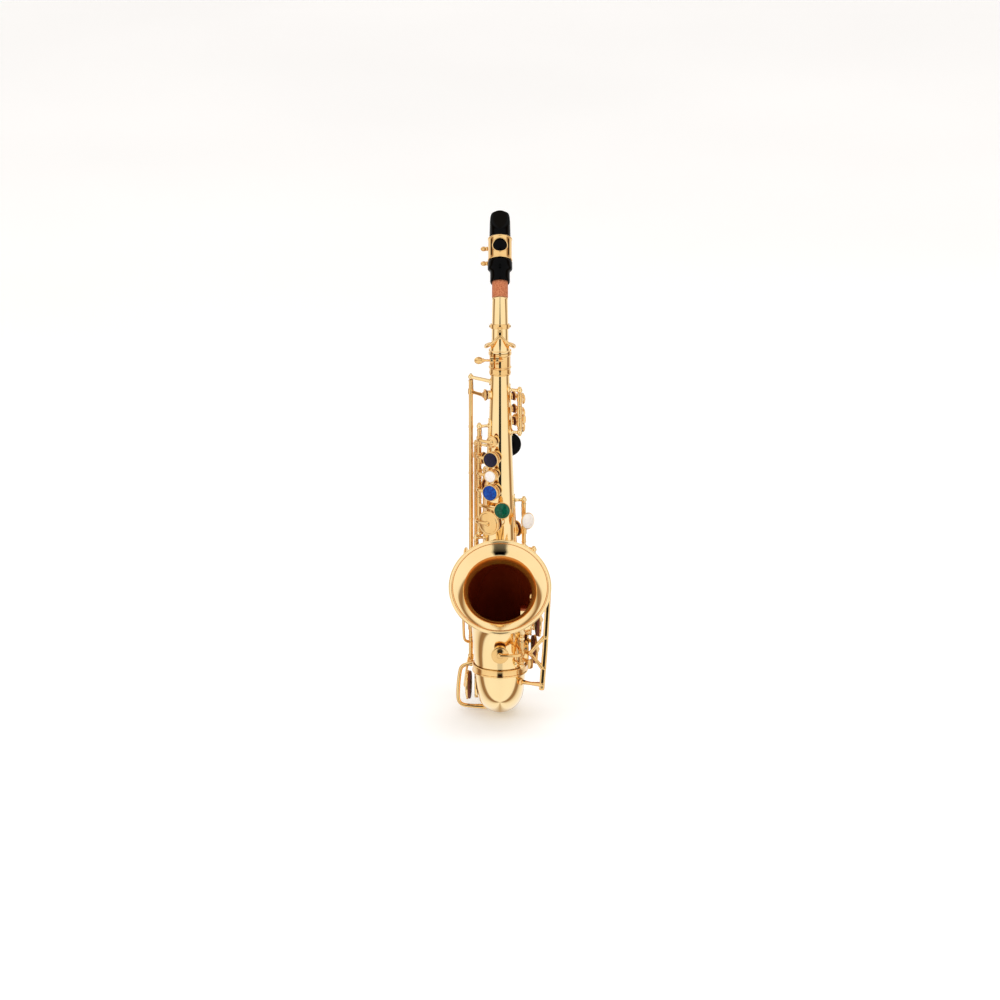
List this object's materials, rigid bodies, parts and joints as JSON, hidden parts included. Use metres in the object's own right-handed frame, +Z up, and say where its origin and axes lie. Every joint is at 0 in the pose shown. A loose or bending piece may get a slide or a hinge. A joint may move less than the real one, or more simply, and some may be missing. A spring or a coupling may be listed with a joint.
{
  "type": "curved soprano saxophone",
  "caption": "Curved soprano saxophone with a flared bell, swivelling neck, sliding mouthpiece and hinged, sprung keys with pearl touches.",
  "frame": {"origin": "centre of the neck-strap ring on the back of the body tube, where the instrument hangs when it is played", "axes": "+Z up along the body tube towards the neck, -Y towards the open bell, +Y towards the player, +X to the left hand of the player"},
  "size_m": [0.0934, 0.1886, 0.452],
  "materials": {
    "brass": "gold lacquer, polished",
    "cork": "waxed cork, matte",
    "ebonite": "polished black",
    "cane": "bare cane",
    "shell": "dark iridescent shell, polished",
    "pearl": "white pearl, polished",
    "leather": "matte"
  },
  "bodies": {
    "body": {"body_tube": "brass", "bow": "brass", "bell": "brass", "body_to_bow_ring": "brass", "bow_to_bell_ring": "brass", "neck_receiver": "brass", "bell_brace": "brass", "low_key_guard": "brass", "low_c_guard": "brass", "thumb_rest": "ebonite", "thumb_hook": "brass", "strap_ring": "brass"},
    "neck": {"neck_tube": "brass", "neck_cork": "cork"},
    "mouthpiece": {"mouthpiece": "ebonite", "reed": "cane", "ligature": "brass"},
    "neck_screw": {"neck_screw": "brass"},
    "neck_octave_key": {"neck_octave_key": "brass"},
    "ligature_screw_lower": {"ligature_screw_lower": "brass"},
    "ligature_screw_upper": {"ligature_screw_upper": "brass"},
    "octave_lever": {"octave_lever": "brass"},
    "key_c": {"key_c": "brass"},
    "key_b": {"key_b": "brass", "pearl_b": "shell"},
    "key_bis": {"key_bis": "brass", "pearl_bis": "pearl"},
    "key_a": {"key_a": "brass", "pearl_a": "shell"},
    "key_g": {"key_g": "brass", "key_g_pad": "leather", "pearl_g": "shell"},
    "key_f_sharp": {"key_f_sharp": "brass"},
    "key_f": {"key_f": "brass", "pearl_f": "shell"},
    "key_e": {"key_e": "brass", "pearl_e": "shell"},
    "key_d": {"key_d": "brass", "key_d_pad": "leather", "pearl_d": "shell"},
    "key_g_sharp": {"key_g_sharp": "brass", "pearl_g_sharp": "pearl"},
    "key_e_flat": {"key_e_flat": "brass"},
    "palm_key_d": {"palm_key_d": "brass"},
    "palm_key_e_flat": {"palm_key_e_flat": "brass"},
    "palm_key_f": {"palm_key_f": "brass"},
    "side_key_e": {"side_key_e": "brass"},
    "side_key_c": {"side_key_c": "brass"},
    "side_key_b_flat": {"side_key_b_flat": "brass"},
    "key_low_c": {"key_low_c": "brass", "key_low_c_pad": "leather"},
    "key_low_b": {"key_low_b": "brass", "key_low_b_pad": "leather"},
    "key_low_b_flat": {"key_low_b_flat": "brass", "key_low_b_flat_pad": "leather"},
    "key_low_c_sharp": {"key_low_c_sharp": "brass"}
  },
  "joints": [
    {"name": "neck_swivel", "type": "hinge", "parent": "body", "child": "neck", "pos_m": [0, -0.023, 0.152], "axis": [0, 0, 1], "range_deg": [-45, 45]},
    {"name": "mouthpiece_tuning", "type": "slide", "parent": "neck", "child": "mouthpiece", "axis": [0, 0.5878, 0.809], "range_m": [-0.005, 0.01]},
    {"name": "neck_screw_turn", "type": "hinge", "parent": "body", "child": "neck_screw", "pos_m": [0, -0.0348, 0.151], "axis": [1, 0, 0], "range_deg": [0, 180]},
    {"name": "neck_octave_key_hinge", "type": "hinge", "parent": "neck", "child": "neck_octave_key", "pos_m": [0, -0.0221, 0.17996], "axis": [1, 0, 0], "range_deg": [0, 5], "stiffness_Nm_per_rad": 0.06, "springref_deg": -11.46},
    {"name": "ligature_screw_lower_turn", "type": "hinge", "parent": "mouthpiece", "child": "ligature_screw_lower", "pos_m": [0, 0.01939, 0.2287], "axis": [1, 0, 0], "range_deg": [0, 180]},
    {"name": "ligature_screw_upper_turn", "type": "hinge", "parent": "mouthpiece", "child": "ligature_screw_upper", "pos_m": [0, 0.02792, 0.24043], "axis": [1, 0, 0], "range_deg": [0, 180]},
    {"name": "octave_lever_hinge", "type": "hinge", "parent": "body", "child": "octave_lever", "pos_m": [0.006, -0.008, 0.103], "axis": [0, 0, -1], "range_deg": [0, 8], "stiffness_Nm_per_rad": 0.06, "springref_deg": -11.46},
    {"name": "key_c_hinge", "type": "hinge", "parent": "body", "child": "key_c", "pos_m": [-0.019, -0.028, 0.0765], "axis": [0, 0, 1], "range_deg": [0, 7], "stiffness_Nm_per_rad": 0.06, "springref_deg": -11.46},
    {"name": "key_b_hinge", "type": "hinge", "parent": "body", "child": "key_b", "pos_m": [-0.019, -0.028, 0.06035], "axis": [0, 0, 1], "range_deg": [0, 7], "stiffness_Nm_per_rad": 0.06, "springref_deg": -11.46},
    {"name": "key_bis_hinge", "type": "hinge", "parent": "body", "child": "key_bis", "pos_m": [-0.019, -0.028, 0.04485], "axis": [0, 0, 1], "range_deg": [0, 7], "stiffness_Nm_per_rad": 0.06, "springref_deg": -11.46},
    {"name": "key_a_hinge", "type": "hinge", "parent": "body", "child": "key_a", "pos_m": [-0.019, -0.028, 0.02885], "axis": [0, 0, 1], "range_deg": [0, 7], "stiffness_Nm_per_rad": 0.06, "springref_deg": -11.46},
    {"name": "key_g_hinge", "type": "hinge", "parent": "body", "child": "key_g", "pos_m": [-0.019, -0.028, 0.00385], "axis": [0, 0, 1], "range_deg": [0, 6], "stiffness_Nm_per_rad": 0.06, "springref_deg": -11.46},
    {"name": "key_f_sharp_hinge", "type": "hinge", "parent": "body", "child": "key_f_sharp", "pos_m": [-0.022, -0.029, -0.031], "axis": [0, 0, 1], "range_deg": [0, 6], "stiffness_Nm_per_rad": 0.06, "springref_deg": -11.46},
    {"name": "key_f_hinge", "type": "hinge", "parent": "body", "child": "key_f", "pos_m": [-0.022, -0.029, -0.05115], "axis": [0, 0, 1], "range_deg": [0, 6], "stiffness_Nm_per_rad": 0.06, "springref_deg": -11.46},
    {"name": "key_e_hinge", "type": "hinge", "parent": "body", "child": "key_e", "pos_m": [-0.022, -0.029, -0.07365], "axis": [0, 0, 1], "range_deg": [0, 6], "stiffness_Nm_per_rad": 0.06, "springref_deg": -11.46},
    {"name": "key_d_hinge", "type": "hinge", "parent": "body", "child": "key_d", "pos_m": [-0.022, -0.029, -0.09765], "axis": [0, 0, 1], "range_deg": [0, 6], "stiffness_Nm_per_rad": 0.06, "springref_deg": -11.46},
    {"name": "key_g_sharp_hinge", "type": "hinge", "parent": "body", "child": "key_g_sharp", "pos_m": [0.022, -0.021, -0.007], "axis": [0, 0, -1], "range_deg": [0, 8], "stiffness_Nm_per_rad": 0.06, "springref_deg": -11.46},
    {"name": "key_e_flat_hinge", "type": "hinge", "parent": "body", "child": "key_e_flat", "pos_m": [-0.027, -0.019, -0.10385], "axis": [0, 0, 1], "range_deg": [0, 7], "stiffness_Nm_per_rad": 0.06, "springref_deg": -11.46},
    {"name": "palm_key_d_hinge", "type": "hinge", "parent": "body", "child": "palm_key_d", "pos_m": [0.018, -0.028, 0.0895], "axis": [0, 0, -1], "range_deg": [0, 8], "stiffness_Nm_per_rad": 0.06, "springref_deg": -11.46},
    {"name": "palm_key_e_flat_hinge", "type": "hinge", "parent": "body", "child": "palm_key_e_flat", "pos_m": [0.018, -0.028, 0.1008], "axis": [0, 0, -1], "range_deg": [0, 8], "stiffness_Nm_per_rad": 0.06, "springref_deg": -11.46},
    {"name": "palm_key_f_hinge", "type": "hinge", "parent": "body", "child": "palm_key_f", "pos_m": [0.018, -0.028, 0.1123], "axis": [0, 0, -1], "range_deg": [0, 8], "stiffness_Nm_per_rad": 0.06, "springref_deg": -11.46},
    {"name": "side_key_e_hinge", "type": "hinge", "parent": "body", "child": "side_key_e", "pos_m": [-0.0267, -0.013, 0.0385], "axis": [0, 0, -1], "range_deg": [0, 8], "stiffness_Nm_per_rad": 0.06, "springref_deg": -11.46},
    {"name": "side_key_c_hinge", "type": "hinge", "parent": "body", "child": "side_key_c", "pos_m": [-0.022, -0.007, -0.002], "axis": [0, 0, -1], "range_deg": [0, 9], "stiffness_Nm_per_rad": 0.06, "springref_deg": -11.46},
    {"name": "side_key_b_flat_hinge", "type": "hinge", "parent": "body", "child": "side_key_b_flat", "pos_m": [-0.014, -0.0015, -0.0215], "axis": [0, 0, -1], "range_deg": [0, 9], "stiffness_Nm_per_rad": 0.06, "springref_deg": -11.46},
    {"name": "key_low_c_hinge", "type": "hinge", "parent": "body", "child": "key_low_c", "pos_m": [-0.027, -0.019, -0.129], "axis": [0, 0, 1], "range_deg": [0, 5], "stiffness_Nm_per_rad": 0.06, "springref_deg": -11.46},
    {"name": "key_low_b_hinge", "type": "hinge", "parent": "body", "child": "key_low_b", "pos_m": [0.0245, -0.053, -0.073], "axis": [0, 0, -1], "range_deg": [0, 6], "stiffness_Nm_per_rad": 0.06, "springref_deg": -11.46},
    {"name": "key_low_b_flat_hinge", "type": "hinge", "parent": "body", "child": "key_low_b_flat", "pos_m": [0.031, -0.054, -0.06], "axis": [0, 0, -1], "range_deg": [0, 6], "stiffness_Nm_per_rad": 0.06, "springref_deg": -11.46},
    {"name": "key_low_c_sharp_hinge", "type": "hinge", "parent": "body", "child": "key_low_c_sharp", "pos_m": [0.02, -0.103, -0.106], "axis": [0, 0, 1], "range_deg": [0, 8], "stiffness_Nm_per_rad": 0.06, "springref_deg": -11.46}
  ],
  "couplings": [
    {"joint": "key_c_hinge", "follows": "key_b_hinge", "ratio": 1},
    {"joint": "key_f_sharp_hinge", "follows": "key_f_hinge", "ratio": 1},
    {"joint": "neck_octave_key_hinge", "follows": "octave_lever_hinge", "ratio": 0.625}
  ]
}
